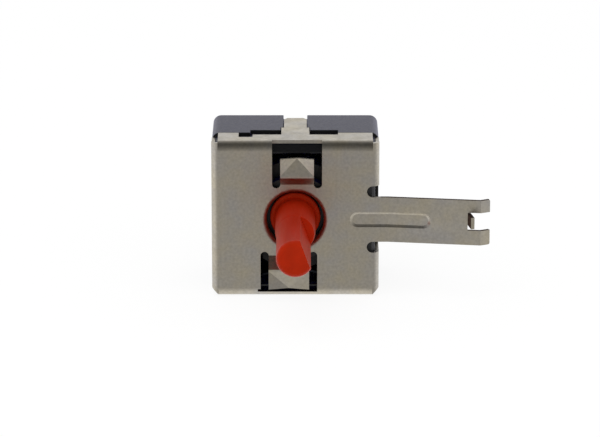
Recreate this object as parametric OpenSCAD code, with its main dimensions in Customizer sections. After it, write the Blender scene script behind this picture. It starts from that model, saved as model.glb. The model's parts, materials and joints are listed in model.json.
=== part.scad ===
// Rotary selector switch: sheet-metal mounting plate with twist-lock tongues
// and a locating arm, moulded housing, D-cut shaft, detent drum and terminals.
//
// Frame: origin on the shaft axis in the plane of the plate's front face,
// +Z up, the shaft points along -Y, the arm along +X. Millimetres.

/* [Mounting plate] */
// Width of the plate over its side flanges
plate_w = 28.6; // [28.2:0.1:31]
// Height of the plate over its top and bottom flanges
plate_h = 27.4; // [27.2:0.1:31]
// Thickness of the sheet
sheet_t = 0.6; // [0.5:0.05:0.65]
// Inside radius of the side flanges' bends
bend_r = 0.5; // [0.3:0.05:0.5]
// Inside radius of the top and bottom flanges' bends
long_bend_r = 1; // [0.8:0.05:1.2]
// Depth of the flanges behind the plate's front face
flange_d = 6.5; // [5.8:0.1:7.5]
// How far the side flanges stop short of the plate's height at each end
corner_gap = 0.8; // [0.7:0.05:1.2]
// How far the middle of the top and bottom flange edges is set back
edge_step = 1.2; // [0.6:0.1:1.6]
// Width of the stretch of flange edge that is set back
edge_step_w = 14.6; // [12:0.1:17]
// Width of the notch at the left end of that stretch
edge_notch_w = 2.4; // [1.6:0.1:2.8]
// Depth of that notch from the full flange edge
edge_notch_d = 2.8; // [2:0.1:3]

/* [Drawn collar] */
// Bore of the drawn collar that the shaft passes through
collar_bore = 9.8; // [9.4:0.1:10]
// Radius of the rolled edge at the front of the collar
collar_edge_r = 0.7; // [0.7:0.05:0.8]
// Depth of the drawn collar behind the plate's front face
collar_d = 2.3; // [2:0.1:2.5]

/* [Twist-lock tongues] */
// How far the tongues stand in front of the plate
tongue_rise = 2.45; // [1.6:0.05:3]
// Height of each tongue's first fold above or below the shaft axis
tongue_root = 6.3; // [6.2:0.05:6.6]
// Height that the tongue's riser climbs
tongue_climb = 1.8; // [1.2:0.05:2]
// Length of the tongue's lip beyond its second fold
tongue_lip = 3.4; // [2.4:0.1:3.5]
// How far the lip's corners stand proud of its middle
lip_flare = 0.9; // [0.3:0.05:1.1]
// Width of the upper tongue
top_tongue_w = 5.7; // [4.5:0.1:6]
// Width of the upper slot
top_slot_w = 8.5; // [8:0.1:9.2]
// Sideways offset of the upper slot
top_slot_x = 0.3; // [-0.5:0.1:0.8]
// Width of the lower tongue
low_tongue_w = 6.9; // [5.5:0.1:7.1]
// Width of the lower slot
low_slot_w = 9.7; // [9.2:0.1:10.4]
// Sideways offset of the lower slot
low_slot_x = -1.1; // [-1.6:0.1:0]

/* [Flange tabs] */
// Width of the tabs where they leave the flanges
tab_w = 4.8; // [4.2:0.1:5.4]
// Width of the tabs' rear ends
tab_end_w = 3.9; // [3.2:0.1:4]
// Depth at which the tabs narrow
tab_neck_y = 9.9; // [9.2:0.1:12]
// Depth of the tabs' rear ends
tab_end_y = 16.4; // [14.5:0.1:17]
// Chamfer of the tabs' rear corners
tab_chamfer = 0.6; // [0.3:0.05:0.9]

/* [Locating arm] */
// Width of the arm
arm_w = 7.9; // [7:0.1:8.6]
// Height of the arm's centre above the shaft axis
arm_z = 0.1; // [-0.4:0.1:0.6]
// Reach of the arm beyond the plate's edge
arm_reach = 18.8; // [17:0.1:22]
// Length of the flat stretch before the arm's bend
arm_flat = 1.5; // [1:0.1:3]
// Outward slope of the arm, in degrees
arm_slope = 8; // [2:0.5:12]
// Length of the prongs
prong_l = 3.8; // [3:0.1:5]
// Width of the gap between the prongs
prong_gap = 3.15; // [2.8:0.05:3.4]
// Height of the gap's centre above the arm's centre
prong_gap_z = 0.2; // [-0.4:0.1:0.6]
// Length of the prongs' bent tips
prong_tip_l = 1.6; // [1:0.1:2.2]
// Backward bend of the prongs' tips, in degrees
prong_tip_bend = 34; // [15:1:40]
// Width of the upturned tooth between the prongs
tooth_w = 2; // [1.6:0.05:2.2]
// Height of the tooth's centre above the arm's centre
tooth_z = 0.6; // [0.3:0.05:0.8]
// Length of the tooth
tooth_l = 2.6; // [1.8:0.1:3.4]
// Bend of the tooth out of the arm, in degrees
tooth_bend = 72; // [45:1:80]
// Width of the round-ended notches beside the arm's root
root_notch_w = 1.95; // [1.4:0.05:2.1]
// Depth of those notches from the plate's edge
root_notch_d = 2.1; // [2.1:0.05:2.6]

/* [Stiffening rib] */
// Distance of the rib's inner end from the shaft axis
rib_x = 9.3; // [8.6:0.1:10.5]
// Length of the rib
rib_l = 13.5; // [10:0.1:15]
// Width of the rib's groove at the front of the sheet
rib_w = 2.7; // [2.2:0.05:2.8]
// Depth that the round of the groove's walls would reach without its flat floor
rib_h = 0.48; // [0.44:0.01:0.52]
// Depth of the groove's flat floor
rib_floor = 0.28; // [0.2:0.02:0.3]

/* [Housing] */
// Depth of the housing behind the plate's front face
body_d = 18.4; // [18.2:0.1:20]
// Radius of the housing's long edges
body_edge_r = 1.4; // [0.8:0.1:1.6]
// Thickness of the walls beside the flanges
wall_t = 1.4; // [1.2:0.05:1.45]
// Thickness of the rear wall
rear_wall_t = 3; // [2.9:0.1:3.4]
// Gap between the housing and the flanges
fit_gap = 0.1; // [0.05:0.01:0.15]

/* [Shaft] */
// Diameter of the D-cut stretch
shaft_d = 6.35; // [6:0.05:6.4]
// Thickness over the D's flat
shaft_flat_t = 5; // [4.5:0.05:5.5]
// Length of the D-cut stretch
shaft_flat_l = 14.8; // [10:0.1:16]
// Reach of the shaft in front of the plate
shaft_reach = 23; // [20:0.1:30]
// Diameter of the round stretch behind the D
hub_d = 6.8; // [6.8:0.05:7.2]
// Turn of the flat from +X towards +Z at rest, in degrees
flat_turn = 20; // [0:1:45]
// Radius of the shaft's rounded tip edge
tip_r = 0.6; // [0.3:0.05:0.8]
// Diameter of the shaft's collar
shaft_collar_d = 8.6; // [8:0.1:8.8]
// Depth of the collar's front behind the plate's front face
shaft_collar_y = 1.8; // [1.4:0.1:2]
// Side of the square that drives the drum
drive_w = 5.2; // [4.6:0.1:5.4]
// Diameter of the rear journal
journal_d = 3.6; // [3.2:0.1:3.8]
// Radial clearance of the front and rear bearings
bearing_gap = 0.06; // [0.03:0.01:0.09]

/* [Detent drum] */
// Gap between the drum's rim and the housing's floor
drum_gap = 2; // [1.9:0.05:2.2]
// Length of the drum's notched rim
drum_l = 5; // [4.6:0.1:5.2]
// Depth of the detent notches
notch_d = 1; // [0.8:0.05:1.2]
// Thickness of the detent spring's strip
leaf_t = 0.35; // [0.25:0.05:0.4]
// Width of the detent spring
leaf_w = 3.4; // [2.4:0.1:3.6]

/* [Contacts] */
// Distance of the contact buttons' circle from the housing's floor
button_inset = 3.4; // [3.3:0.05:3.6]
// Diameter of a contact button's head
button_d = 3.2; // [2.6:0.1:3.4]
// Height of a contact button's head
button_h = 0.7; // [0.6:0.05:0.8]
// Thickness of the terminals
blade_t = 0.8; // [0.7:0.05:0.85]
// Width of the terminal blades
blade_w = 6.35; // [4.8:0.05:6.35]
// Length of the blades behind the housing
blade_l = 7.2; // [6:0.1:8]
// Width of the bridge's arm
bridge_w = 3.4; // [3:0.1:3.6]
// Thickness of the bridge
bridge_t = 0.5; // [0.4:0.05:0.6]
// Diameter of the wire of the bridge's spring
wire_d = 0.5; // [0.4:0.05:0.55]

/* [Hidden] */
$fn = 96;

// mounting plate
half_w = plate_w / 2;
half_h = plate_h / 2;
bend_out_r = bend_r + sheet_t;
long_bend_out_r = long_bend_r + sheet_t;
face_half_w = half_w - bend_out_r;
face_half_h = half_h - long_bend_out_r;
ear_z = half_h - 0.1;
ear_cut = 1.5;
side_z = half_h - corner_gap;
top_slot_y = 1.7;
low_slot_edge = 0.85;
low_nick = 0.5;
leg_drop = 0.65;
collar_out_r = collar_bore / 2 + sheet_t;
collar_flat_r = collar_bore / 2 + collar_edge_r;
window_z = 9.3;
window_l = 2.4;
window_y0 = 3;
window_y1 = 4.5;

// locating arm
arm_bend_x = half_w + arm_flat;
arm_end_x = half_w + arm_reach;
prong_root_x = arm_end_x - prong_l;
prong_tip_x = arm_end_x - prong_tip_l;
prong_gap_mid = arm_z + prong_gap_z;
prong_round = 0.3;
arm_gap_z0 = arm_z - arm_w / 2 - root_notch_w;
arm_gap_z1 = arm_z + arm_w / 2 + root_notch_w;

// rib: a round bar whose radius gives the groove's width and the rise of its
// walls, cut short by a flat floor, and a thicker one on the same line for the
// ridge that the groove raises behind
rib_in_r = (rib_w * rib_w / 4 + rib_h * rib_h) / (2 * rib_h);
rib_wall = 0.9 * sheet_t;
rib_out_r = rib_in_r + rib_wall;
rib_y = rib_h - rib_in_r;
ridge_y = rib_floor + rib_wall;
cut_over = 1;
rib_back_y = 2 * rib_out_r;
clip_gap = 1.8;
ridge_swell = 0.08;
ridge_half_w = sqrt(rib_out_r * rib_out_r - pow(sheet_t - rib_y, 2));
rib_x1 = rib_x + rib_w / 2;
rib_x2 = rib_x + rib_l - rib_w / 2;
rib_bend_x = arm_bend_x + rib_y * tan(arm_slope / 2);
rib_slope_l = (rib_x2 - rib_bend_x) / cos(arm_slope);

// housing
inner_half_w = half_w - sheet_t - fit_gap;
inner_half_h = half_h - sheet_t - fit_gap;
cavity_half_w = inner_half_w - wall_t;
cavity_half_h = inner_half_h - wall_t;
front_chamfer = bend_r + fit_gap;
long_chamfer = long_bend_r + fit_gap;
shoulder_y = flange_d + fit_gap;
shoulder_step = 1.6;
deep_shoulder_y = shoulder_y + shoulder_step;
floor_y = body_d - rear_wall_t;
tab_gap = 0.1;
ridge_gap = 0.15;

// washer, drum and shaft, from the front
drum_r = cavity_half_h - drum_gap;
washer_t = 0.4;
washer_w = 0.9;
ring_y = sheet_t + washer_t + 0.05;
ring_in_r = collar_out_r + bearing_gap;
bearing_ring_t = 1.9;
ring_out_r = collar_out_r + bearing_ring_t;
rim_y = collar_d + 1.1;
rim_end_y = rim_y + drum_l;
drive_past_rim = 2;
drive_end_y = rim_end_y + drive_past_rim;
pocket_floor_t = 0.5;
pocket_y = drive_end_y + pocket_floor_t;
groove_y = pocket_y + 0.1;
groove_l = 0.5;
clip_y = groove_y + 0.05;
clip_t = 0.4;
pad_y = floor_y - blade_t;
button_y = pad_y - button_h;
bridge_end_y = button_y - 0.05;
bridge_y = bridge_end_y - bridge_t;
hub_end_y = bridge_end_y - 0.15;
pocket_r = 4.4;
hub_out_r = 5.4;
journal_r = journal_d / 2;
journal_bore_l = 2;
journal_end_y = floor_y + journal_bore_l - 0.2;
groove_r = journal_r - 0.3;
clip_out_r = journal_r + 0.7;

// positions and stops
step_angle = 45;
positions = 4;
travel = step_angle * (positions - 1);
first_angle = 90 - travel / 2;
common_angle = -90;
lug_half_angle = 9;
lug_angle = -90 - travel / 2;
lug_in_r = ring_out_r + 0.3;
lug_out_r = drum_r - 0.2;
lug_h = 1.8;
lug_y = rim_y - lug_h;
stop_half_w = 1.6;
stop_x = lug_in_r + 0.3;
stop_y = ridge_y + 2 * ridge_gap;
stop_end_y = rim_y - 0.3;

// detent
notch_half_w = 1.7;
notch_floor_half_w = 0.6;
leaf_y = rim_y + (drum_l - leaf_w) / 2;
leaf_foot_z = -cavity_half_h + leaf_t + 0.05;
leaf_path = [[-8.6, leaf_foot_z], [-7.2, leaf_foot_z], [-1.5, -drum_r - 0.35],
             [-0.45, -drum_r + notch_d - 0.25], [0.45, -drum_r + notch_d - 0.25],
             [1.5, -drum_r - 0.35], [7.2, leaf_foot_z], [8.6, leaf_foot_z]];
post_x = 8.75;
post_w = 1;
post_h = 1.2;

// terminals and contacts
button_ring_r = cavity_half_h - button_inset;
pad_w = 4.2;
pad_in_r = button_ring_r - button_d / 2 - 0.2;
blade_inset = 1;
blade_out_r = cavity_half_h - blade_inset;
blade_chamfer = 1.2;
blade_hole_from_end = 3.2;
slot_gap = 0.15;
disc_out_r = 4.9;
disc_in_r = journal_r + 0.6;
track_in_r = 2.9;
track_out_r = 4.7;
bridge_disc_r = pocket_r - 0.15;
bridge_rim_w = 1.6;
bridge_end_r = button_ring_r + bridge_rim_w;
rivet_r = 0.8;
rivet_head_r = 1.3;
rivet_head_h = 0.4;
blade_hole_r = 0.8;

// coil spring under the bridge
coil_r = 3.6;
coil_turns = 2.5;
coil_y0 = pocket_y + wire_d / 2 + 0.02;
coil_y1 = bridge_y - wire_d / 2 - 0.02;
coil_steps = 60;
coil_sides = 8;

steel = [0.55, 0.53, 0.49];
black = [0.09, 0.09, 0.1];
red = [0.62, 0.12, 0.06];
brass = [0.72, 0.6, 0.33];
silver = [0.8, 0.8, 0.8];
spring_steel = [0.6, 0.62, 0.65];

// ---------- helpers ----------

// a (y, z) outline drawn out along X
module along_x(x0, x1)
    translate([x0, 0, 0]) rotate([90, 0, 90]) linear_extrude(x1 - x0) children();

// an (x, z) outline drawn out along Y
module along_y(y0, y1)
    translate([0, y1, 0]) rotate([90, 0, 0]) linear_extrude(y1 - y0) children();

// an (x, y) outline drawn out along Z
module along_z(z0, z1)
    translate([0, 0, z0]) linear_extrude(z1 - z0) children();

// a round bar on the shaft axis
module rod(r, y0, y1)
    translate([0, y0, 0]) rotate([-90, 0, 0]) cylinder(r = r, h = y1 - y0);

module tube(r_in, r_out, y0, y1)
    difference() {
        rod(r_out, y0, y1);
        rod(r_in, y0 - 1, y1 + 1);
    }

// a block given by two opposite corners
module block(low, high)
    translate(low) cube(high - low);

// turns its children about the shaft axis from +X towards +Z
module at_angle(a)
    rotate([0, -a, 0]) children();

// the same above and below the shaft axis
module above_and_below() {
    children();
    mirror([0, 0, 1]) children();
}

// the same at the right and at the left
module both_sides() {
    children();
    mirror([1, 0, 0]) children();
}

// strip of thickness t at the left of a path, its corners mitred
function unit(v) = v / norm(v);
function left(v) = [-v[1], v[0]];
function corner(p, i, t) =
    let (a = max(i, 1), b = min(i + 1, len(p) - 1),
         u = left(unit(p[a] - p[a - 1])), v = left(unit(p[b] - p[b - 1])))
    p[i] + (u + v) * t / (1 + u * v);
function ribbon(p, t) =
    concat(p, [for (i = [len(p) - 1:-1:0]) corner(p, i, t)]);

// quarter ring whose outer arc touches the axes' far sides
module quarter_ring(r_out, r_in)
    intersection() {
        difference() {
            circle(r_out);
            circle(r_in);
        }
        square(r_out);
    }

// ---------- mounting plate ----------

// one bend and its flange, in (depth, outward) coordinates, outside at 0
module flange_section(r) {
    out_r = r + sheet_t;
    translate([out_r, -out_r]) mirror([1, 0]) quarter_ring(out_r, r);
    translate([out_r, -sheet_t]) square([flange_d - out_r, sheet_t]);
}

// outline of a slot above the shaft axis; the tongue keeps the middle of its lower end
module slot_outline(slot_w, tongue_w, x, end_z) {
    leg_w = (slot_w - tongue_w) / 2;
    leg_z = tongue_root - leg_drop + leg_w / 2;
    for (s = [-1, 1])
        translate([x + s * (slot_w - leg_w) / 2, leg_z]) {
            circle(d = leg_w);
            translate([-leg_w / 2, 0]) square([leg_w, end_z - leg_z]);
        }
    translate([x - slot_w / 2, tongue_root]) square([slot_w, end_z - tongue_root]);
}

// round-ended notches above and below the arm's root
module root_notches()
    for (z = [arm_z - (arm_w + root_notch_w) / 2, arm_z + (arm_w + root_notch_w) / 2])
        translate([half_w - root_notch_d + root_notch_w / 2, z]) {
            circle(d = root_notch_w);
            translate([0, -root_notch_w / 2]) square([root_notch_d, root_notch_w]);
        }

module face_outline()
    difference() {
        union() {
            square([2 * face_half_w, 2 * face_half_h], center = true);
            translate([0, arm_z - arm_w / 2]) square([arm_bend_x, arm_w]);
        }
        circle(collar_flat_r);
        slot_outline(top_slot_w, top_tongue_w, top_slot_x, face_half_h + 1);
        mirror([0, 1])
            slot_outline(low_slot_w, low_tongue_w, low_slot_x, face_half_h + 1);
        root_notches();
    }

module drawn_collar()
    rotate([-90, 0, 0])
        rotate_extrude() {
            translate([collar_flat_r, collar_edge_r])
                rotate(180) quarter_ring(collar_edge_r, max(collar_edge_r - sheet_t, 0.05));
            translate([collar_bore / 2, collar_edge_r])
                square([sheet_t, collar_d - collar_edge_r]);
        }

// riser and lip of a tongue above the shaft axis
module tongue(w, x) {
    back_z = sheet_t * tan(atan2(tongue_rise, tongue_climb) / 2);
    fold_z = tongue_root + tongue_climb;
    lip_z = fold_z + back_z;
    end_z = fold_z + tongue_lip;
    corner_y = -tongue_rise - lip_flare / 2;
    along_x(x - w / 2, x + w / 2)
        polygon([[0, tongue_root], [-tongue_rise, fold_z], [-tongue_rise, lip_z],
                 [sheet_t - tongue_rise, lip_z], [sheet_t, tongue_root + back_z],
                 [sheet_t, tongue_root]]);
    front = [[-w / 2, -tongue_rise, lip_z], [w / 2, -tongue_rise, lip_z],
             [w / 2, corner_y, end_z], [0, corner_y + lip_flare, end_z],
             [-w / 2, corner_y, end_z]];
    translate([x, 0, 0])
        polyhedron(
            points = concat(front, [for (p = front) p + [0, sheet_t, 0]]),
            faces = concat([[0, 3, 1], [1, 3, 2], [0, 4, 3], [5, 6, 8], [6, 7, 8], [5, 8, 9]],
                           [for (i = [0:4]) [i, (i + 1) % 5, 5 + (i + 1) % 5, 5 + i]]));
}

// outline from above of the tab that runs back over the housing
module tab_outline() {
    neck = tab_w / 2;
    tip = tab_end_w / 2;
    c = tab_chamfer;
    polygon([[-neck, flange_d - edge_step - 1], [neck, flange_d - edge_step - 1],
             [neck, tab_neck_y], [tip, tab_neck_y], [tip, tab_end_y - 1.5 * c],
             [tip - c, tab_end_y], [c - tip, tab_end_y], [-tip, tab_end_y - 1.5 * c],
             [-tip, tab_neck_y], [-neck, tab_neck_y]]);
}

// upper flange with its stepped rear edge
module top_flange() {
    difference() {
        along_x(-face_half_w, face_half_w) translate([0, half_h]) flange_section(long_bend_r);
        block([-edge_step_w / 2, flange_d - edge_step, half_h - 1],
              [edge_step_w / 2, flange_d + 1, half_h + 1]);
        block([-edge_step_w / 2 - edge_notch_w, flange_d - edge_notch_d, half_h - 1],
              [-edge_step_w / 2, flange_d + 1, half_h + 1]);
    }
    along_z(half_h - sheet_t, half_h) tab_outline();
}

module side_flange(z0, z1)
    along_z(z0, z1) translate([half_w, 0]) mirror([1, -1]) flange_section(bend_r);

// slanting cut across the corner of a bend strip's lower end
module ear_corner() {
    reach = half_w + half_h - ear_cut;
    along_y(-1, flange_d + 1)
        polygon([[half_w + 1, reach - half_w - 1], [face_half_w - 1, reach - face_half_w + 1],
                 [face_half_w - 1, reach], [half_w + 1, reach]]);
}

// side flange with the bend strip's ears and its two latch windows
module side_flange_set() {
    difference() {
        side_flange(-ear_z, ear_z);
        above_and_below()
            block([face_half_w, bend_out_r, side_z], [half_w + 1, flange_d + 1, half_h]);
        mirror([0, 0, 1]) ear_corner();
        above_and_below()
            block([half_w - 1, window_y0, window_z - window_l / 2],
                  [half_w + 1, window_y1, window_z + window_l / 2]);
    }
}

// front edge of the arm seen from above, from just inside its bend
function arm_path() =
    let (s = (prong_tip_x - arm_bend_x) / cos(arm_slope), b = arm_slope - prong_tip_bend,
         knee = [prong_tip_x, -s * sin(arm_slope)])
    [[arm_bend_x - 0.5, 0], [arm_bend_x, 0], knee,
     knee + prong_tip_l * [1, -tan(b)]];

// depth of the arm's front surface at a distance x from the shaft axis
function arm_y(x) = -(x - arm_bend_x) * tan(arm_slope);

module arm_outline() {
    r = prong_round;
    difference() {
        union() {
            translate([arm_bend_x - 0.5, arm_z - arm_w / 2])
                square([arm_reach - arm_flat + 0.5 - r, arm_w]);
            translate([arm_bend_x, arm_z - arm_w / 2 + r])
                square([arm_reach - arm_flat, arm_w - 2 * r]);
            for (s = [-1, 1])
                translate([arm_end_x - r, arm_z + s * (arm_w / 2 - r)]) circle(r);
        }
        translate([prong_root_x, prong_gap_mid - prong_gap / 2])
            square([prong_l + 1, prong_gap]);
    }
}

module arm() {
    intersection() {
        along_z(arm_z - arm_w, arm_z + arm_w) polygon(ribbon(arm_path(), sheet_t));
        along_y(-half_w, half_w) arm_outline();
    }
    root = [prong_root_x, arm_y(prong_root_x)];
    a = arm_slope + tooth_bend;
    along_z(arm_z + tooth_z - tooth_w / 2, arm_z + tooth_z + tooth_w / 2)
        polygon(ribbon([[prong_root_x - 0.4, arm_y(prong_root_x - 0.4)], root,
                        root + tooth_l * [cos(a), -sin(a)]], sheet_t));
}

// round-ended bar of a given length along X
module half_bar(r, length) {
    rotate([0, 90, 0]) cylinder(r = r, h = length);
    translate([length, 0, 0])
        intersection() {
            sphere(r);
            block([0, -r - 1, -r - 1], [r + 1, r + 1, r + 1]);
        }
}

// round-ended bar along the rib, following the arm's bend
module rib_bar(r) {
    half_slope = arm_slope / 2;
    over = 1;
    span = rib_out_r + over;
    translate([rib_bend_x, rib_y, arm_z]) {
        intersection() {
            mirror([1, 0, 0])
                translate([-over, 0, 0]) half_bar(r, rib_bend_x - rib_x1 + over);
            rotate([0, 0, -half_slope]) block([-rib_l, -span, -span], [0, span, span]);
        }
        intersection() {
            rotate([0, 0, -arm_slope])
                translate([-over, 0, 0]) half_bar(r, rib_slope_l + over);
            rotate([0, 0, -half_slope]) block([0, -span, -span], [rib_l, span, span]);
        }
    }
}

// groove pressed into the front of the sheet
module rib_groove()
    difference() {
        rib_bar(rib_in_r);
        space_behind(rib_floor);
    }

// ridge behind the groove, swelling a little where it passes the arm's bend
module rib_ridge()
    difference() {
        intersection() {
            union() {
                rib_bar(rib_out_r);
                translate([rib_bend_x, rib_y, arm_z]) sphere(rib_out_r + ridge_swell);
            }
            space_behind(sheet_t / 2);
        }
        space_behind(ridge_y);
    }

// space behind a given depth under the front of the sheet, along plate and arm
module space_behind(depth)
    along_z(arm_z - rib_w, arm_z + rib_w)
        polygon([[rib_x - cut_over, depth], [arm_bend_x, depth],
                 [arm_end_x, depth + arm_y(arm_end_x)], [arm_end_x, rib_back_y],
                 [rib_x - cut_over, rib_back_y]]);

module mounting_plate() color(steel)
    difference() {
        union() {
            along_y(0, sheet_t) face_outline();
            drawn_collar();
            difference() {
                top_flange();
                block([top_slot_x - top_slot_w / 2, -1, face_half_h - 1],
                      [top_slot_x + top_slot_w / 2, top_slot_y, half_h + 1]);
            }
            difference() {
                mirror([0, 0, 1]) top_flange();
                block([low_slot_x - low_slot_w / 2 - low_nick, -1, low_slot_edge - half_h],
                      [low_slot_x, long_bend_out_r, low_slot_edge + low_nick - half_h]);
                block([low_slot_x - low_slot_w / 2, -1, low_slot_edge - half_h],
                      [low_slot_x + low_slot_w / 2, long_bend_out_r, -face_half_h + 1]);
            }
            mirror([1, 0, 0]) side_flange_set();
            difference() {
                side_flange_set();
                block([face_half_w - 1, -1, arm_gap_z0], [half_w + 1, flange_d + 1, arm_gap_z1]);
            }
            tongue(top_tongue_w, top_slot_x);
            mirror([0, 0, 1]) tongue(low_tongue_w, low_slot_x);
            arm();
            rib_ridge();
        }
        rib_groove();
    }

// ---------- housing ----------

// recessed front of the housing that the flanges wrap
module housing_front() {
    c = front_chamfer;
    d = long_chamfer;
    intersection() {
        along_z(-inner_half_h, inner_half_h)
            polygon([[-inner_half_w, sheet_t + c], [c - inner_half_w, sheet_t],
                     [inner_half_w - c, sheet_t], [inner_half_w, sheet_t + c],
                     [inner_half_w, floor_y], [-inner_half_w, floor_y]]);
        along_x(-inner_half_w, inner_half_w)
            polygon([[sheet_t + d, -inner_half_h], [floor_y, -inner_half_h],
                     [floor_y, inner_half_h], [sheet_t + d, inner_half_h],
                     [sheet_t, inner_half_h - d], [sheet_t, d - inner_half_h]]);
    }
}

module rounded_outline(hw, hh, r) {
    square([2 * (hw - r), 2 * hh], center = true);
    square([2 * hw, 2 * (hh - r)], center = true);
    for (x = [r - hw, hw - r], z = [r - hh, hh - r])
        translate([x, z]) circle(r);
}

// grooves for the flange tab and the set-back stretch of the flange edge
module tab_groove() {
    neck = tab_w / 2 + tab_gap;
    tip = tab_end_w / 2 + tab_gap;
    block([-neck, 0, inner_half_h], [neck, tab_neck_y + tab_gap, half_h + 1]);
    block([-tip, 0, inner_half_h], [tip, body_d + 1, half_h + 1]);
    block([-edge_step_w / 2 - 0.4, 0, inner_half_h],
          [edge_step_w / 2, deep_shoulder_y, half_h + 1]);
}

// wedge that snaps into a window of the side flange
module latch()
    along_z(window_z - window_l / 2 + 0.2, window_z + window_l / 2 - 0.2)
        polygon([[inner_half_w - 0.3, window_y0 + 0.15], [inner_half_w, window_y0 + 0.15],
                 [half_w - 0.15, window_y1 - 0.2], [inner_half_w - 0.3, window_y1 - 0.2]]);

module stop_rib()
    block([stop_x, stop_y, -stop_half_w], [cavity_half_w + 0.5, stop_end_y, stop_half_w]);

// post that keeps one end of the detent spring in place
module spring_post()
    block([post_x, leaf_y - 0.6, -cavity_half_h - 0.5],
          [post_x + post_w, leaf_y + leaf_w + 0.6, post_h - cavity_half_h]);

// opening in the side wall for the ridge behind the arm's rib
module ridge_slot()
    block([cavity_half_w - 1, 0, arm_z - ridge_half_w - ridge_gap],
          [half_w + 1, ridge_y + ridge_gap, arm_z + ridge_half_w + ridge_gap]);

module blade_slot()
    block([blade_out_r - blade_t - slot_gap, floor_y - 1, -blade_w / 2 - slot_gap],
          [blade_out_r + slot_gap, body_d + 1, blade_w / 2 + slot_gap]);

module housing() color(black) {
    difference() {
        union() {
            housing_front();
            along_y(shoulder_y, body_d) rounded_outline(half_w, half_h, body_edge_r);
        }
        block([-cavity_half_w, 0, -cavity_half_h], [cavity_half_w, floor_y, cavity_half_h]);
        above_and_below() tab_groove();
        ridge_slot();
        rod(journal_r + bearing_gap, floor_y - 1, floor_y + journal_bore_l);
        for (i = [0:positions - 1])
            at_angle(first_angle + i * step_angle) blade_slot();
        at_angle(common_angle) blade_slot();
    }
    both_sides() above_and_below() latch();
    both_sides() stop_rib();
    both_sides() spring_post();
}

// ---------- bearing, detent and shaft ----------

module thrust_washer() color(steel)
    tube(collar_out_r + 0.1, collar_out_r + washer_w, sheet_t, sheet_t + washer_t);

module detent_spring() color(spring_steel)
    along_y(leaf_y, leaf_y + leaf_w) polygon(ribbon(leaf_path, -leaf_t));

// half outline of the D-cut stretch with its rounded tip, radius and depth
module tip_outline() {
    r = shaft_d / 2;
    translate([0, -shaft_reach]) square([r - tip_r, shaft_flat_l]);
    translate([0, tip_r - shaft_reach]) square([r, shaft_flat_l - tip_r]);
    translate([r - tip_r, tip_r - shaft_reach]) circle(tip_r);
}

module shaft() color(red) {
    flat_y = shaft_flat_l - shaft_reach;
    difference() {
        rotate([-90, 0, 0])
            rotate_extrude()
                intersection() {
                    tip_outline();
                    translate([0, -shaft_reach]) square([shaft_d, shaft_flat_l]);
                }
        at_angle(flat_turn)
            block([shaft_flat_t - shaft_d / 2, -shaft_reach - 1, -shaft_d],
                  [shaft_d, flat_y + 1, shaft_d]);
    }
    rod(hub_d / 2, flat_y, shaft_collar_y);
    rod(shaft_collar_d / 2, shaft_collar_y, rim_y);
    block([-drive_w / 2, rim_y, -drive_w / 2], [drive_w / 2, drive_end_y, drive_w / 2]);
    rod(journal_r, drive_end_y, groove_y);
    rod(groove_r, groove_y, groove_y + groove_l);
    rod(journal_r, groove_y + groove_l, journal_end_y);
}

// wedge-shaped prism that spans an angle on each side of +X
module sector(r, half_angle, y0, y1)
    along_y(y0, y1)
        polygon([[0, 0], [r, -r * tan(half_angle)], [r, r * tan(half_angle)]]);

module detent_notch()
    along_y(rim_y - 1, rim_end_y + 1)
        polygon([[drum_r - notch_d, -notch_floor_half_w], [drum_r, -notch_half_w],
                 [drum_r + 1, -notch_half_w], [drum_r + 1, notch_half_w],
                 [drum_r, notch_half_w], [drum_r - notch_d, notch_floor_half_w]]);

module cam_drum() color(black) {
    hole = drive_w / 2 + 0.05;
    difference() {
        union() {
            rod(ring_out_r, ring_y, rim_y);
            rod(drum_r, rim_y, rim_end_y);
            rod(hub_out_r, rim_end_y, hub_end_y);
        }
        rod(ring_in_r, ring_y - 1, rim_y);
        block([-hole, rim_y - 1, -hole], [hole, drive_end_y, hole]);
        rod(journal_r + 0.1, drive_end_y - 1, pocket_y + 1);
        rod(pocket_r, pocket_y, hub_end_y + 1);
        for (i = [0:7])
            at_angle(i * step_angle) detent_notch();
        at_angle(first_angle)
            block([0, bridge_y - 0.1, -bridge_w / 2 - 0.1],
                  [hub_out_r + 1, hub_end_y + 1, bridge_w / 2 + 0.1]);
    }
    at_angle(lug_angle)
        intersection() {
            tube(lug_in_r, lug_out_r, lug_y, rim_y);
            sector(lug_out_r + cut_over, lug_half_angle, lug_y - cut_over, rim_y + cut_over);
        }
}

module retaining_clip() color(spring_steel)
    difference() {
        tube(groove_r + 0.02, clip_out_r, clip_y, clip_y + clip_t);
        block([-clip_gap / 2, clip_y - cut_over, -clip_out_r - cut_over],
              [clip_gap / 2, clip_y + cut_over, 0]);
    }

// ---------- contacts ----------

function coil_point(i, j) =
    let (t = 360 * coil_turns * i / coil_steps, f = 360 * j / coil_sides,
         r = coil_r + wire_d / 2 * cos(f))
    [r * cos(t), coil_y0 + (coil_y1 - coil_y0) * i / coil_steps + wire_d / 2 * sin(f),
     r * sin(t)];

module contact_spring() color(spring_steel) {
    n = coil_sides;
    polyhedron(
        points = [for (i = [0:coil_steps], j = [0:n - 1]) coil_point(i, j)],
        faces = concat(
            [[for (j = [0:n - 1]) j], [for (j = [n - 1:-1:0]) coil_steps * n + j]],
            [for (i = [0:coil_steps - 1], j = [0:n - 1])
                [i * n + j, (i + 1) * n + j, i * n + (j + 1) % n]],
            [for (i = [0:coil_steps - 1], j = [0:n - 1])
                [(i + 1) * n + j, (i + 1) * n + (j + 1) % n, i * n + (j + 1) % n]]));
}

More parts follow.
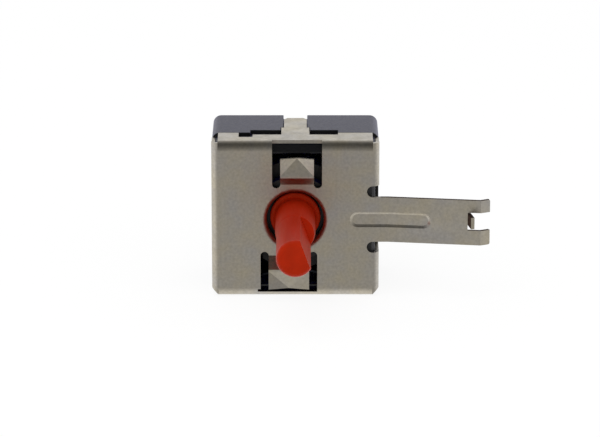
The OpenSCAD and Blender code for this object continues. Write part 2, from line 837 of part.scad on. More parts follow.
module contact_bridge() color(brass)
    at_angle(first_angle)
        difference() {
            union() {
                rod(bridge_disc_r, bridge_y, bridge_end_y);
                block([0, bridge_y, -bridge_w / 2],
                      [bridge_end_r - bridge_w / 2, bridge_end_y, bridge_w / 2]);
                translate([bridge_end_r - bridge_w / 2, 0, 0])
                    rod(bridge_w / 2, bridge_y, bridge_end_y);
            }
            rod(journal_r + 0.3, bridge_y - 1, bridge_end_y + 1);
            translate([button_ring_r, 0, 0]) rod(rivet_r, bridge_y - 1, bridge_end_y + 1);
        }

module bridge_contact() color(silver)
    at_angle(first_angle)
        translate([button_ring_r, 0, 0]) {
            rod(rivet_head_r, bridge_y - rivet_head_h, bridge_y);
            rod(rivet_r, bridge_y, bridge_end_y);
        }

module common_ring() color(silver)
    tube(track_in_r, track_out_r, button_y, pad_y);

// blade behind the rear wall, with chamfered end and a small hole
module blade() {
    c = blade_chamfer;
    end_y = body_d + blade_l;
    difference() {
        along_x(blade_out_r - blade_t, blade_out_r)
            polygon([[pad_y, -pad_w / 2], [floor_y, -pad_w / 2], [floor_y, -blade_w / 2],
                     [end_y - c, -blade_w / 2], [end_y, c - blade_w / 2],
                     [end_y, blade_w / 2 - c], [end_y - c, blade_w / 2],
                     [floor_y, blade_w / 2], [floor_y, pad_w / 2], [pad_y, pad_w / 2]]);
        translate([blade_out_r - 2 * blade_t, end_y - blade_hole_from_end, 0])
            rotate([0, 90, 0]) cylinder(r = blade_hole_r, h = 3 * blade_t);
    }
}

module terminal(i) color(brass)
    at_angle(first_angle + (i - 1) * step_angle) {
        difference() {
            block([pad_in_r, pad_y, -pad_w / 2], [blade_out_r, floor_y, pad_w / 2]);
            translate([button_ring_r, 0, 0]) rod(rivet_r, pad_y - 1, floor_y + 1);
        }
        blade();
    }

module terminal_common() color(brass)
    at_angle(common_angle) {
        difference() {
            union() {
                rod(disc_out_r, pad_y, floor_y);
                block([0, pad_y, -pad_w / 2], [blade_out_r, floor_y, pad_w / 2]);
            }
            rod(disc_in_r, pad_y - 1, floor_y + 1);
        }
        blade();
    }

module contact(i) color(silver)
    at_angle(first_angle + (i - 1) * step_angle)
        translate([button_ring_r, 0, 0]) {
            rod(button_d / 2, button_y, pad_y);
            rod(rivet_r, pad_y, floor_y);
        }

mounting_plate();
housing();
thrust_washer();
detent_spring();
shaft();
cam_drum();
retaining_clip();
contact_spring();
contact_bridge();
bridge_contact();
common_ring();
terminal_common();
terminal(1);  // terminal_1
terminal(2);  // terminal_2
terminal(3);  // terminal_3
terminal(4);  // terminal_4
contact(1);  // contact_1
contact(2);  // contact_2
contact(3);  // contact_3
contact(4);  // contact_4
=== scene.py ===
"""Rotary selector switch: a zinc plated mounting plate with a snap-in arm, a black moulded
housing, a red shaft with a D-shaped end, and blade terminals at the back."""

import json
import math

import bmesh
import bpy
from bpy.props import FloatProperty, FloatVectorProperty, PointerProperty
from mathutils import Matrix, Vector

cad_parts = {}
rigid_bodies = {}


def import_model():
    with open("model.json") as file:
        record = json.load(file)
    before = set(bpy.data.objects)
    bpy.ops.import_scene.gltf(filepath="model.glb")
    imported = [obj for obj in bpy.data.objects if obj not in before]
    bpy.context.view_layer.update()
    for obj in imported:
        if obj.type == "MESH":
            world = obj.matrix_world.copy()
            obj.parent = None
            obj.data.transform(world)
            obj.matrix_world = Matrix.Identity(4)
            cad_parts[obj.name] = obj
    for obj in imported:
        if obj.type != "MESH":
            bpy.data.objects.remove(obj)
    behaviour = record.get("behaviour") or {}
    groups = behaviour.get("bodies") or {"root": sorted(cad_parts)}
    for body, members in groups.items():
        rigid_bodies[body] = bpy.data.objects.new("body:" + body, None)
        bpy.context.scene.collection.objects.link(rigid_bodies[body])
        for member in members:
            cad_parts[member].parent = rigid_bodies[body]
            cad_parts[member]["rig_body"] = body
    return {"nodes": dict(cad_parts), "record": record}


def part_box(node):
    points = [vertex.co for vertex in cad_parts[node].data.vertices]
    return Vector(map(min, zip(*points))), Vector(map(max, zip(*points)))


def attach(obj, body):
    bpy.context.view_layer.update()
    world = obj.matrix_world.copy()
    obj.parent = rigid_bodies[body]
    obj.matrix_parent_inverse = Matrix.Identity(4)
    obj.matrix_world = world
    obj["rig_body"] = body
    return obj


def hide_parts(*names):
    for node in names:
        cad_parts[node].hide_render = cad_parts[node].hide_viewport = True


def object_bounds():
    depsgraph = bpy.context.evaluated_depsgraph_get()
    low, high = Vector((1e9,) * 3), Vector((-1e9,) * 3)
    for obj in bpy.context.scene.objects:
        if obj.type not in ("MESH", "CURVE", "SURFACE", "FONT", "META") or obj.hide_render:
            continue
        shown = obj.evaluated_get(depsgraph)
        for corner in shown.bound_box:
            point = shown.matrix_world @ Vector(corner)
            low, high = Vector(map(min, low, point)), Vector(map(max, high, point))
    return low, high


bl_info = {
    "name": "Rotary selector switch",
    "version": (1, 0, 0),
    "blender": (4, 5, 0),
    "location": "3D View > Sidebar > Selector",
    "description": "Dresses the selector switch with finished metal, plastic and brass pieces",
    "category": "Object",
}

MM = 0.001

# corners of the CAD meshes that are this close are one corner
DOUBLE = 1e-7
# points this close to a cutting plane lie on it, so that no sliver is left beside it
NEAR = 0.01 * MM

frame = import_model()
cad_low, cad_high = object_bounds()


# ---------------------------------------------------------------- colours and nodes

# a Mix node has its own sockets for each kind of value, and these are their numbers
MIX_SHARE = 0
FIRST_NUMBER, SECOND_NUMBER = 2, 3
FIRST_COLOUR, SECOND_COLOUR, MIXED_COLOUR = 6, 7, 2

# noise hardly leaves this middle part of its range
NOISE_LOW, NOISE_HIGH = 0.3, 0.7


def srgb(hex_colour):
    """A colour written as sRGB hex, turned to the linear values that shaders take."""
    parts = [int(hex_colour[i : i + 2], 16) / 255 for i in (1, 3, 5)]
    linear = [c / 12.92 if c <= 0.04045 else ((c + 0.055) / 1.055) ** 2.4 for c in parts]
    return (*linear, 1.0)


def toned(colour, red, green, blue):
    """The colour with its red, green and blue multiplied, none of them past full."""
    return [min(c * gain, 1.0) for c, gain in zip(colour, (red, green, blue))] + [1.0]


def add(tree, kind, inputs=None, **settings):
    """Adds one node: settings are its attributes, inputs are values or sockets linked to it."""
    node = tree.nodes.new(kind)
    for name, value in settings.items():
        setattr(node, name, value)
    for name, value in (inputs or {}).items():
        if isinstance(value, bpy.types.NodeSocket):
            tree.links.new(value, node.inputs[name])
        else:
            node.inputs[name].default_value = value
    return node


def mottle(tree, place, across_mm, low=0.0, high=1.0, detail=2.0):
    """Soft patches about so many millimetres across, as a number that runs from low to high."""
    noise = add(
        tree,
        "ShaderNodeTexNoise",
        {"Vector": place, "Scale": 1 / MM / across_mm, "Detail": detail},
    )
    patches = add(
        tree,
        "ShaderNodeMapRange",
        {
            "Value": noise.outputs["Fac"],
            "From Min": NOISE_LOW,
            "From Max": NOISE_HIGH,
            "To Min": low,
            "To Max": high,
        },
    )
    return patches.outputs["Result"]


def relief(tree, place, across_mm, height_mm, detail=2.0, under=None):
    """Low hills about so many millimetres across and high, laid over the relief under them."""
    noise = add(
        tree,
        "ShaderNodeTexNoise",
        {"Vector": place, "Scale": 1 / MM / across_mm, "Detail": detail},
    )
    hills = {"Height": noise.outputs["Fac"], "Strength": 1.0, "Distance": height_mm * MM}
    if under is not None:
        hills["Normal"] = under
    return add(tree, "ShaderNodeBump", hills).outputs["Normal"]


def new_material(name, look, *values):
    """A material whose shader gets the inputs that look() returns for it."""
    material = bpy.data.materials.new(name)
    material.use_nodes = True
    tree = material.node_tree
    tree.nodes.clear()
    place = add(tree, "ShaderNodeTexCoord").outputs["Object"]
    surface = add(tree, "ShaderNodeBsdfPrincipled", look(tree, place, *values))
    add(tree, "ShaderNodeOutputMaterial", {"Surface": surface.outputs["BSDF"]})
    return material


# ---------------------------------------------------------------- meshes


def piece_from(bm, name, slot, cad_node, smooth_angle=35, creased=None):
    """Turns a finished bmesh into a piece that takes a CAD node's place on its body.
    Edges sharper than the angle stay sharp, and so does any edge that creased() picks."""
    least_crease = math.radians(3)
    for e in bm.edges:
        turn = e.calc_face_angle(0.0)
        picked = creased is not None and turn > least_crease and creased(e)
        e.smooth = not (turn > math.radians(smooth_angle) or picked)
    for f in bm.faces:
        f.smooth = True
    mesh = bpy.data.meshes.new(name)
    bm.to_mesh(mesh)
    bm.free()
    if not mesh.polygons:
        raise RuntimeError(f"{name} has no faces")
    mesh.materials.append(materials[slot])
    piece = bpy.data.objects.new(name, mesh)
    bpy.context.scene.collection.objects.link(piece)
    weighted = piece.modifiers.new("even_normals", "WEIGHTED_NORMAL")
    weighted.keep_sharp = True
    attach(piece, frame["nodes"][cad_node]["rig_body"])
    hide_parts(cad_node)
    return piece


def merged_copy(cad_node):
    """A bmesh copy of a CAD node, with its doubles merged and each flat area made one face."""
    bm = bmesh.new()
    bm.from_mesh(frame["nodes"][cad_node].data)
    bmesh.ops.remove_doubles(bm, verts=bm.verts, dist=DOUBLE)
    bmesh.ops.dissolve_limit(
        bm, angle_limit=math.radians(0.5), verts=bm.verts, edges=bm.edges
    )
    return bm


def soften(bm, radius, least_angle=40):
    """Breaks every edge sharper than the angle with a small round, as tumbling or plating
    leaves it."""
    least = math.radians(least_angle)
    bmesh.ops.bevel(
        bm,
        geom=[e for e in bm.edges if e.is_manifold and e.calc_face_angle() > least],
        offset=radius,
        offset_type="OFFSET",
        segments=2,
        profile=0.5,
        affect="EDGES",
        clamp_overlap=True,
        material=-1,
    )


def box_between(low, high):
    """A bmesh box between two corners."""
    bm = bmesh.new()
    low, high = Vector(low), Vector(high)
    place = Matrix.Translation((low + high) / 2) @ Matrix.Diagonal((*(high - low), 1))
    bmesh.ops.create_cube(bm, size=1, matrix=place)
    return bm


def lathe(outline, steps=96):
    """A bmesh turned about the shaft's axis: a circle at the outline's first (radius, depth) is
    drawn out from point to point, and both ends are closed with a flat face."""
    bm = bmesh.new()
    radius, depth = outline[0]
    place = Matrix.Translation((0, depth, 0)) @ Matrix.Rotation(math.radians(90), 4, "X")
    circle = bmesh.ops.create_circle(
        bm, cap_ends=True, segments=steps, radius=radius, matrix=place
    )
    edges = list(dict.fromkeys(e for v in circle["verts"] for e in v.link_edges))
    for next_radius, next_depth in outline[1:]:
        drawn = bmesh.ops.extrude_edge_only(bm, edges=edges)["geom"]
        verts = [part for part in drawn if isinstance(part, bmesh.types.BMVert)]
        edges = [part for part in drawn if isinstance(part, bmesh.types.BMEdge)]
        growth = next_radius / radius
        bmesh.ops.scale(bm, verts=verts, vec=(growth, 1, growth))
        bmesh.ops.translate(bm, verts=verts, vec=(0, next_depth - depth, 0))
        radius, depth = next_radius, next_depth
    bmesh.ops.edgeloop_fill(bm, edges=edges)
    bmesh.ops.recalc_face_normals(bm, faces=bm.faces)
    return bm


def round_rim(bm, radius, depth, rounding):
    """Rounds the rim that a turned bmesh has at one radius and depth."""

    def on_rim(vert):
        return abs(vert.co.y - depth) < DOUBLE and abs(vert.co.xz.length - radius) < DOUBLE

    rim = [e for e in bm.edges if all(on_rim(v) for v in e.verts)]
    if not rim:
        raise RuntimeError(f"no rim at radius {radius}, depth {depth}")
    bmesh.ops.bevel(
        bm, geom=rim, offset=rounding, segments=6, profile=0.5, affect="EDGES", material=-1
    )


def cut_flat(bm, outward, distance, end):
    """Cuts a flat along the front of a turned bmesh, up to a depth, and closes the flat and the
    step at its end. The flat faces outward, at a distance from the axis."""

    def at_end(vert):
        return abs(vert.co.y - end) < NEAR

    def on_flat(vert):
        return abs(vert.co.dot(outward) - distance) < NEAR

    def cut_off(vert):
        return vert.co.y < end + NEAR and vert.co.dot(outward) > distance - NEAR

    everything = [*bm.verts, *bm.edges, *bm.faces]
    bmesh.ops.bisect_plane(
        bm, geom=everything, dist=NEAR, plane_co=(0, end, 0), plane_no=(0, 1, 0)
    )
    front = [f for f in bm.faces if all(v.co.y < end + NEAR for v in f.verts)]
    around = dict.fromkeys(part for f in front for part in (*f.verts, *f.edges, f))
    bmesh.ops.bisect_plane(
        bm, geom=list(around), dist=NEAR, plane_co=outward * distance, plane_no=outward
    )
    waste = [f for f in bm.faces if all(cut_off(v) for v in f.verts)]
    bmesh.ops.delete(bm, geom=waste, context="FACES")
    corners = [v for v in bm.verts if at_end(v) and on_flat(v)]
    if len(corners) != 2:
        raise RuntimeError(f"the flat ends in {len(corners)} corners")
    chord = bm.edges.new(corners)
    for lies_there in (on_flat, at_end):
        rim = [e for e in bm.edges if e.is_boundary and all(lies_there(v) for v in e.verts)]
        bmesh.ops.edgeloop_fill(bm, edges=list(dict.fromkeys([*rim, chord])))
    bmesh.ops.recalc_face_normals(bm, faces=bm.faces)
    if any(e.is_boundary or e.is_wire for e in bm.edges):
        raise RuntimeError("the flat isn't closed")


def take_in(bm, *others):
    """Adds other bmeshes to one; they are used up."""
    for other in others:
        spare = bpy.data.meshes.new("spare")
        other.to_mesh(spare)
        other.free()
        bm.from_mesh(spare)
        bpy.data.meshes.remove(spare)


# ---------------------------------------------------------------- settings


def length(name, description, default_mm):
    """A size of the switch; its default is written in millimetres and kept in metres."""
    return FloatProperty(
        name=name,
        description=description,
        default=default_mm * MM,
        min=0.01 * MM,
        unit="LENGTH",
    )


def colour(name, description, default_hex):
    """A colour of the switch; its default is written as sRGB hex."""
    return FloatVectorProperty(
        name=name,
        description=description,
        default=srgb(default_hex),
        min=0,
        max=1,
        size=4,
        subtype="COLOR",
    )


class SelectorSizes(bpy.types.PropertyGroup):
    plate_edge: length("Plate edge", "Round on the plate's cut edges", 0.07)
    housing_edge: length("Housing edge", "Round on the housing's moulded edges", 0.12)
    blade_edge: length("Blade edge", "Round on the terminals' stamped edges", 0.06)
    shaft_edge: length("Shaft edge", "Round on the shaft's moulded edges", 0.15)
    shaft_d: length("Shaft", "Diameter of the D-shaped end", 6.35)
    tip_round: length("Tip round", "Round of the shaft's tip", 0.9)
    flat_length: length("Flat length", "Length of the D's flat", 14.8)
    flat_thickness: length("Flat thickness", "Thickness over the D's flat", 5.0)
    hub_d: length("Hub", "Diameter of the round hub behind the flat", 6.8)
    hub_taper: length("Hub taper", "Distance from the flat's end to the full hub", 1.2)
    hub_fillet: length("Hub fillet", "Round between hub and collar", 0.62)
    collar_start: length("Collar start", "Depth of the collar's front", 1.8)
    collar_end: length("Collar end", "Depth of the collar's back", 3.4)
    collar_round: length("Collar round", "Round of the collar's front edge", 0.25)
    square_side: length("Square", "Side of the driving square", 5.2)
    square_length: length("Square length", "Length of the driving square", 7.0)
    journal_d: length("Journal", "Diameter of the rear journal", 3.6)
    groove_at: length("Groove", "Depth at which the clip's groove starts", 11.0)
    groove_w: length("Groove width", "Width of the clip's groove", 0.5)
    groove_depth: length("Groove depth", "Depth of the clip's groove into the journal", 0.3)
    flat_turn: FloatProperty(
        name="Flat turn",
        description="Turn of the flat from the arm's side upwards",
        default=math.radians(20),
        unit="ROTATION",
    )


class SelectorFinish(bpy.types.PropertyGroup):
    steel: colour("Plate steel", "Zinc plated steel", "#AEA89B")
    plastic: colour("Housing plastic", "Black moulded phenolic", "#08080A")
    red: colour("Shaft plastic", "Red acetal", "#AE2308")


def sizes():
    return bpy.context.scene.selector_sizes


def finish():
    return bpy.context.scene.selector_finish


# ---------------------------------------------------------------- finishes

# the materials that the operators have made, by slot
materials = {}

# the arm leaves the plate's side here, and from here on its cut edges carry a painted dark brown
# shade line and are rougher
ARM_ROOT_X = 14.5 * MM
# the dark brown of the painted shade line along the arm's cut edges
EDGE_SHADE_BROWN = srgb("#54423A")
# rows of noise along the rolled sheet and along the moulded shaft, in shares of their width
SHEET_GRAIN = (1, 1, 0.35)
SHAFT_FLOW = (1, 0.12, 1)


def zinc_plated_steel(tree, place):
    """Cold rolled steel sheet, zinc plated: a soft grey mirror with cloudy patches, a fine speck
    and rolling grain. The arm's cut edges get a painted dark brown shade line and more
    roughness."""
    base = finish().steel
    colour = add(
        tree,
        "ShaderNodeMix",
        {
            MIX_SHARE: mottle(tree, place, 4.0, detail=4.0),
            FIRST_COLOUR: toned(base, 1.05, 1.02, 0.94),
            SECOND_COLOUR: toned(base, 0.95, 0.97, 1.06),
        },
        data_type="RGBA",
    )
    colour = add(
        tree,
        "ShaderNodeMix",
        {
            MIX_SHARE: 1.0,
            FIRST_COLOUR: colour.outputs[MIXED_COLOUR],
            SECOND_COLOUR: mottle(tree, place, 0.45, 0.90, 1.09),
        },
        data_type="RGBA",
        blend_type="MULTIPLY",
    )
    along = add(tree, "ShaderNodeSeparateXYZ", {"Vector": place}).outputs["X"]
    on_arm = add(tree, "ShaderNodeMath", {0: along, 1: ARM_ROOT_X}, operation="GREATER_THAN")
    normal = add(tree, "ShaderNodeTexCoord").outputs["Normal"]
    forward = add(tree, "ShaderNodeSeparateXYZ", {"Vector": normal}).outputs["Y"]
    flatness = add(tree, "ShaderNodeMath", {0: forward}, operation="ABSOLUTE")
    on_edge = add(
        tree,
        "ShaderNodeMapRange",
        {
            "Value": flatness.outputs[0],
            "From Min": 0.45,
            "From Max": 0.55,
            "To Min": 1.0,
            "To Max": 0.0,
        },
    )
    # where the arm's cut edges lie, a dark brown line of painted shade is mixed into the colour
    edge_shade = add(
        tree,
        "ShaderNodeMath",
        {0: on_edge.outputs["Result"], 1: on_arm.outputs[0]},
        operation="MULTIPLY",
    ).outputs[0]
    colour = add(
        tree,
        "ShaderNodeMix",
        {
            MIX_SHARE: edge_shade,
            FIRST_COLOUR: colour.outputs[MIXED_COLOUR],
            SECOND_COLOUR: EDGE_SHADE_BROWN,
        },
        data_type="RGBA",
    )
    plated = mottle(tree, place, 1.6, 0.30, 0.42, detail=3.0)
    rough = add(tree, "ShaderNodeMath", {0: edge_shade, 1: 0.5, 2: plated}, operation="MULTIPLY_ADD")
    rows = add(tree, "ShaderNodeMapping", {"Vector": place, "Scale": SHEET_GRAIN})
    grain = relief(tree, rows.outputs["Vector"], 0.5, 0.004)
    return {
        "Metallic": 1.0,
        "Base Color": colour.outputs[MIXED_COLOUR],
        "Roughness": rough.outputs[0],
        "Normal": relief(tree, place, 3.5, 0.02, detail=1.0, under=grain),
    }


def black_phenolic(tree, place):
    """Compression moulded phenolic: near black with a satin skin, a faint filler grain, and a
    bluish bloom where it is seen at a slant."""
    base = finish().plastic
    colour = add(
        tree,
        "ShaderNodeMix",
        {
            MIX_SHARE: mottle(tree, place, 0.6, detail=3.0),
            FIRST_COLOUR: toned(base, 0.75, 0.75, 0.75),
            SECOND_COLOUR: toned(base, 1.3, 1.3, 1.3),
        },
        data_type="RGBA",
    )
    return {
        "IOR": 1.47,
        "Sheen Weight": 0.1,
        "Sheen Roughness": 0.4,
        "Sheen Tint": srgb("#2020FF"),
        "Base Color": colour.outputs[MIXED_COLOUR],
        "Roughness": mottle(tree, place, 0.3, 0.38, 0.46),
        "Normal": relief(tree, place, 0.25, 0.001),
    }


def red_acetal(tree, place):
    """Injection moulded acetal: a clear red with a waxy gloss, light passing a little into it.
    Its patches are drawn out along the shaft, the way the melt flowed."""
    base = finish().red
    flow = add(tree, "ShaderNodeMapping", {"Vector": place, "Scale": SHAFT_FLOW})
    flow = flow.outputs["Vector"]
    colour = add(
        tree,
        "ShaderNodeMix",
        {
            MIX_SHARE: mottle(tree, flow, 3.0),
            FIRST_COLOUR: toned(base, 0.9, 0.9, 0.9),
            SECOND_COLOUR: toned(base, 1.1, 1.1, 1.1),
        },
        data_type="RGBA",
    )
    return {
        "IOR": 1.48,
        "Specular IOR Level": 0.3,
        "Specular Tint": srgb("#FFA878"),
        "Subsurface Weight": 0.08,
        "Subsurface Radius": (1.0, 0.25, 0.12),
        "Subsurface Scale": 0.6 * MM,
        "Base Color": colour.outputs[MIXED_COLOUR],
        "Roughness": mottle(tree, flow, 1.0, 0.36, 0.44),
        "Normal": relief(tree, flow, 0.8, 0.002),
    }


def plain_metal(tree, place, base_hex, smooth, rough, grain_mm):
    """A rolled or stamped strip: one metal colour, with its roughness varied by the grain."""
    base = srgb(base_hex)
    colour = add(
        tree,
        "ShaderNodeMix",
        {
            MIX_SHARE: mottle(tree, place, 4 * grain_mm, detail=3.0),
            FIRST_COLOUR: toned(base, 0.85, 0.85, 0.85),
            SECOND_COLOUR: base,
        },
        data_type="RGBA",
    )
    return {
        "Metallic": 1.0,
        "Base Color": colour.outputs[MIXED_COLOUR],
        "Roughness": mottle(tree, place, grain_mm, smooth, rough, detail=3.0),
        "Normal": relief(tree, place, grain_mm, 0.004),
    }


# for each slot: the material's name, its look, and a plain metal's colour, lowest and highest
# roughness, and grain in millimetres
FINISHES = {
    "plate_steel": ("zinc_plated_steel", zinc_plated_steel),
    "housing_plastic": ("black_phenolic", black_phenolic),
    "shaft_plastic": ("red_acetal", red_acetal),
    # tempering leaves a dark blue grey
    "spring_steel": ("blued_spring_steel", plain_metal, "#3B3E46", 0.25, 0.4, 0.4),
    # tin hides the brass under a pale, warm grey
    "terminal_brass": ("tinned_brass", plain_metal, "#B9B2A0", 0.25, 0.4, 0.5),
    # bare brass is a clear yellow
    "contact_brass": ("stamped_brass", plain_metal, "#C9A45C", 0.22, 0.38, 0.5),
    # silver is the palest and brightest of them
    "contact_silver": ("silver_contact", plain_metal, "#D9D7D0", 0.2, 0.32, 0.4),
}


class SELECTOR_OT_finishes(bpy.types.Operator):
    """Make the materials and give the carried pieces theirs"""

    bl_idname = "selector.finishes"
    bl_label = "Finishes"

    def execute(self, context):
        for slot, look in FINISHES.items():
            materials[slot] = new_material(*look)
        for part in frame["record"]["subparts"]:
            mesh = frame["nodes"][part["node"]].data
            mesh.materials.clear()
            mesh.materials.append(materials[part["material_slot"]])
        return {"FINISHED"}


# ---------------------------------------------------------------- pieces


class SELECTOR_OT_plate(bpy.types.Operator):
    """Make the mounting plate, with its arm, tongues and flanges"""

    bl_idname = "selector.plate"
    bl_label = "Mounting plate"

    def execute(self, context):
        # the rib's low walls turn less than 65 degrees and stay as they are, and they look
        # pressed only if their rims, of more than 22 degrees, stay sharp
        bm = merged_copy("mounting_plate")
        soften(bm, sizes().plate_edge, least_angle=65)
        tongue_y, tongue_x = -1.6 * MM, 6 * MM

        def on_tongue(e):
            return all(v.co.y < tongue_y and abs(v.co.x) < tongue_x for v in e.verts)

        piece_from(
            bm, "plate", "plate_steel", "mounting_plate", smooth_angle=22, creased=on_tongue
        )
        return {"FINISHED"}


class SELECTOR_OT_shaft(bpy.types.Operator):
    """Make the shaft: D-shaped end, round hub, collar, driving square and rear journal"""

    bl_idname = "selector.shaft"
    bl_label = "Shaft"

    def execute(self, context):
        s = sizes()
        low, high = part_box("shaft")
        shaft_r, hub_r, journal_r = s.shaft_d / 2, s.hub_d / 2, s.journal_d / 2
        collar_r = max(high.x, high.z)
        flat_end = low.y + s.flat_length
        taper_start = flat_end + 0.2 * MM
        taper_end = flat_end + s.hub_taper
        fillet = [
            (
                hub_r + s.hub_fillet * (1 - math.cos(turn)),
                s.collar_start - s.hub_fillet * (1 - math.sin(turn)),
            )
            for turn in (math.radians(15 * step) for step in range(7))
        ]
        bm = lathe(
            [
                (shaft_r, low.y),
                (shaft_r, taper_start),
                (hub_r, taper_end),
                *fillet,
                (collar_r, s.collar_start),
                (collar_r, s.collar_end),
            ]
        )
        round_rim(bm, shaft_r, low.y, s.tip_round)
        round_rim(bm, collar_r, s.collar_start, s.collar_round)
        outward = Vector((math.cos(s.flat_turn), 0, math.sin(s.flat_turn)))
        cut_flat(bm, outward, s.flat_thickness - shaft_r, flat_end)
        soften(bm, s.shaft_edge)

        # the square and the journal each start a little inside what they stand on
        sunk = 0.4 * MM
        half = s.square_side / 2
        square_end = s.collar_end + s.square_length
        square = box_between(
            (-half, s.collar_end - sunk, -half), (half, square_end, half)
        )
        soften(square, s.shaft_edge)
        groove_r = journal_r - s.groove_depth
        groove_end = s.groove_at + s.groove_w
        journal = lathe(
            [
                (journal_r, square_end - sunk),
                (journal_r, s.groove_at),
                (groove_r, s.groove_at),
                (groove_r, groove_end),
                (journal_r, groove_end),
                (journal_r, high.y),
            ],
            steps=48,
        )
        soften(journal, s.shaft_edge)
        take_in(bm, square, journal)
        piece_from(bm, "shaft_moulding", "shaft_plastic", "shaft")
        return {"FINISHED"}


class SELECTOR_OT_housing(bpy.types.Operator):
    """Make the moulded housing, with its edges eased"""

    bl_idname = "selector.housing"
    bl_label = "Housing"

    def execute(self, context):
        bm = merged_copy("housing")
        soften(bm, sizes().housing_edge)
        piece_from(bm, "housing_moulding", "housing_plastic", "housing")
        return {"FINISHED"}


class SELECTOR_OT_terminals(bpy.types.Operator):
    """Make the blade terminals, with their stamped edges eased"""

    bl_idname = "selector.terminals"
    bl_label = "Terminals"

    def execute(self, context):
        for node in sorted(frame["nodes"]):
            if node.startswith("terminal_"):
                bm = merged_copy(node)
                soften(bm, sizes().blade_edge)
                piece_from(bm, node.replace("terminal", "blade"), "terminal_brass", node)
        return {"FINISHED"}


# ---------------------------------------------------------------- stage

FLOOR_HALF = 3.0
PAPER = srgb("#F2F2F2")
WHITE = (1, 1, 1, 1)
# how brightly and how much the floor glows where it is seen, so that it looks white
GLOW = 1.05
GLOW_SHARE = 0.85

EVEN_LIGHT = 0.62
# what gloss sees: a ceiling that darkens overhead, and a room that darkens to the front.
# For each: the darkest direction, the cosines from it between which it darkens, and its levels
OVERHEAD = math.radians(76)
SURROUNDINGS = (
    (Vector((0, -math.cos(OVERHEAD), math.sin(OVERHEAD))), 0.0, 1.0, 1.15, 0.07),
    (Vector((0.25, -1, 0)).normalized(), 0.35, 0.95, 1.0, 0.47),
)

# for each lamp: its name, place in metres and power in watts
LAMPS = (("key_lamp", (-0.30, -0.25, 0.80), 2.2), ("fill_lamp", (0.60, -0.60, 0.30), 1.2))
LAMP_SIZE = 0.80

CAMERA_RISE = math.radians(16.5)
CAMERA_DISTANCE = 0.58
CAMERA_LENS = 204.06
CAMERA_AIM = Vector((0.8, 0, 0.3)) * MM


def lay_floor(scene):
    """A sheet of white paper under the switch, which glows a little where it is seen."""
    bm = bmesh.new()
    bmesh.ops.create_grid(bm, x_segments=2, y_segments=2, size=FLOOR_HALF)
    bmesh.ops.translate(bm, verts=bm.verts, vec=(0, 0, cad_low.z))
    mesh = bpy.data.meshes.new("floor")
    bm.to_mesh(mesh)
    bm.free()
    floor = bpy.data.objects.new("floor", mesh)
    scene.collection.objects.link(floor)
    floor.visible_glossy = False

    material = bpy.data.materials.new("white_paper")
    material.use_nodes = True
    tree = material.node_tree
    tree.nodes.clear()
    paper = add(tree, "ShaderNodeBsdfDiffuse", {"Color": PAPER})
    glow = add(tree, "ShaderNodeEmission", {"Color": WHITE, "Strength": GLOW})
    ray = add(tree, "ShaderNodeLightPath")
    seen = ray.outputs["Is Camera Ray"]
    for kind in ("Is Glossy Ray", "Is Transmission Ray"):
        seen = add(tree, "ShaderNodeMath", {0: seen, 1: ray.outputs[kind]}, operation="ADD")
        seen = seen.outputs[0]
    share = add(
        tree, "ShaderNodeMath", {0: seen, 1: GLOW_SHARE}, operation="MULTIPLY", use_clamp=True
    )
    both = add(
        tree,
        "ShaderNodeMixShader",
        {0: share.outputs[0], 1: paper.outputs[0], 2: glow.outputs[0]},
    )
    add(tree, "ShaderNodeOutputMaterial", {"Surface": both.outputs[0]})
    mesh.materials.append(material)


def light_room(scene):
    """A white background that lights evenly, and that gloss sees as a room."""
    world = bpy.data.worlds.new("studio")
    scene.world = world
    world.use_nodes = True
    tree = world.node_tree
    tree.nodes.clear()
    ray = add(tree, "ShaderNodeLightPath")
    way = add(tree, "ShaderNodeTexCoord").outputs["Generated"]
    levels = []
    for darkest, least_cosine, most_cosine, bright, dark in SURROUNDINGS:
        cosine = add(tree, "ShaderNodeVectorMath", {0: way, 1: darkest}, operation="DOT_PRODUCT")
        level = add(
            tree,
            "ShaderNodeMapRange",
            {
                "Value": cosine.outputs["Value"],
                "From Min": least_cosine,
                "From Max": most_cosine,
                "To Min": bright,
                "To Max": dark,
            },
        )
        levels.append(level.outputs["Result"])
    room = add(tree, "ShaderNodeMath", {0: levels[0], 1: levels[1]}, operation="MULTIPLY")
    unseen = add(
        tree,
        "ShaderNodeMix",
        {
            MIX_SHARE: ray.outputs["Is Glossy Ray"],
            FIRST_NUMBER: EVEN_LIGHT,
            SECOND_NUMBER: room.outputs[0],
        },
    )
    strength = add(
        tree,
        "ShaderNodeMix",
        {
            MIX_SHARE: ray.outputs["Is Camera Ray"],
            FIRST_NUMBER: unseen.outputs[0],
            SECOND_NUMBER: 1.0,
        },
    )
    back = add(tree, "ShaderNodeBackground", {"Color": WHITE, "Strength": strength.outputs[0]})
    add(tree, "ShaderNodeOutputWorld", {"Surface": back.outputs[0]})


def face(holder, way):
    """Turns a lamp or camera to look along a direction."""
    holder.rotation_mode = "QUATERNION"
    holder.rotation_quaternion = way.to_track_quat("-Z", "Y")


def hang_lamps(scene):
    """Two soft square lamps that look at the switch."""
    for name, place, power in LAMPS:
        lamp = bpy.data.lights.new(name, "AREA")
        lamp.shape = "SQUARE"
        lamp.size = LAMP_SIZE
        lamp.energy = power
        holder = bpy.data.objects.new(name, lamp)
        scene.collection.objects.link(holder)
        holder.location = place
        holder.visible_glossy = False
        face(holder, -Vector(place))


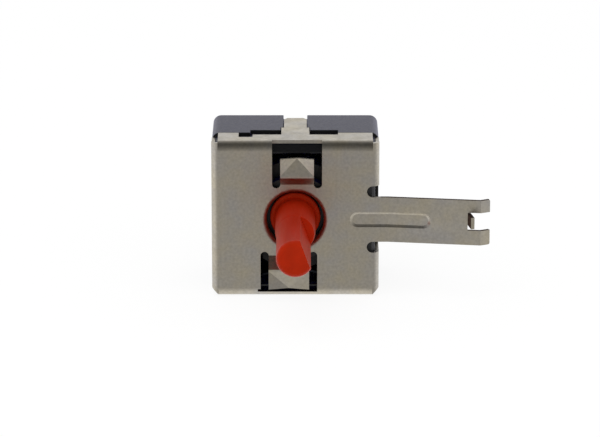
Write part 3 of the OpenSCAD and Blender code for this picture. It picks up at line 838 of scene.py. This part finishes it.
def set_camera(scene):
    """A long lens in front of the switch and a little above it."""
    back_way = Vector((0, -math.cos(CAMERA_RISE), math.sin(CAMERA_RISE)))
    lens = bpy.data.cameras.new("camera")
    lens.sensor_width = 36
    lens.lens = CAMERA_LENS
    lens.clip_start = 0.05
    lens.clip_end = 20
    camera = bpy.data.objects.new("camera", lens)
    scene.collection.objects.link(camera)
    camera.location = CAMERA_AIM + back_way * CAMERA_DISTANCE
    face(camera, -back_way)
    scene.camera = camera


class SELECTOR_OT_stage(bpy.types.Operator):
    """Make the floor, the lamps, the surroundings and the camera"""

    bl_idname = "selector.stage"
    bl_label = "Stage"

    def execute(self, context):
        scene = context.scene
        lay_floor(scene)
        light_room(scene)
        hang_lamps(scene)
        set_camera(scene)
        scene.view_settings.view_transform = "Standard"
        return {"FINISHED"}


# ---------------------------------------------------------------- add-on


class SELECTOR_PT_panel(bpy.types.Panel):
    """Lists the pieces and their settings"""

    bl_idname = "SELECTOR_PT_panel"
    bl_label = "Selector switch"
    bl_space_type = "VIEW_3D"
    bl_region_type = "UI"
    bl_category = "Selector"

    def draw(self, context):
        for group in (context.scene.selector_sizes, context.scene.selector_finish):
            for name in group.__annotations__:
                self.layout.prop(group, name)
        for operator in OPERATORS:
            self.layout.operator(operator.bl_idname)


OPERATORS = (
    SELECTOR_OT_finishes,
    SELECTOR_OT_plate,
    SELECTOR_OT_shaft,
    SELECTOR_OT_housing,
    SELECTOR_OT_terminals,
    SELECTOR_OT_stage,
)
CLASSES = (SelectorSizes, SelectorFinish, *OPERATORS, SELECTOR_PT_panel)


def register():
    for cls in CLASSES:
        bpy.utils.register_class(cls)
    bpy.types.Scene.selector_sizes = PointerProperty(type=SelectorSizes)
    bpy.types.Scene.selector_finish = PointerProperty(type=SelectorFinish)


def unregister():
    del bpy.types.Scene.selector_finish
    del bpy.types.Scene.selector_sizes
    for cls in reversed(CLASSES):
        bpy.utils.unregister_class(cls)


def main():
    register()
    bpy.ops.selector.finishes()
    bpy.ops.selector.plate()
    bpy.ops.selector.shaft()
    bpy.ops.selector.housing()
    bpy.ops.selector.terminals()
    bpy.ops.selector.stage()


if __name__ == "__main__":
    main()
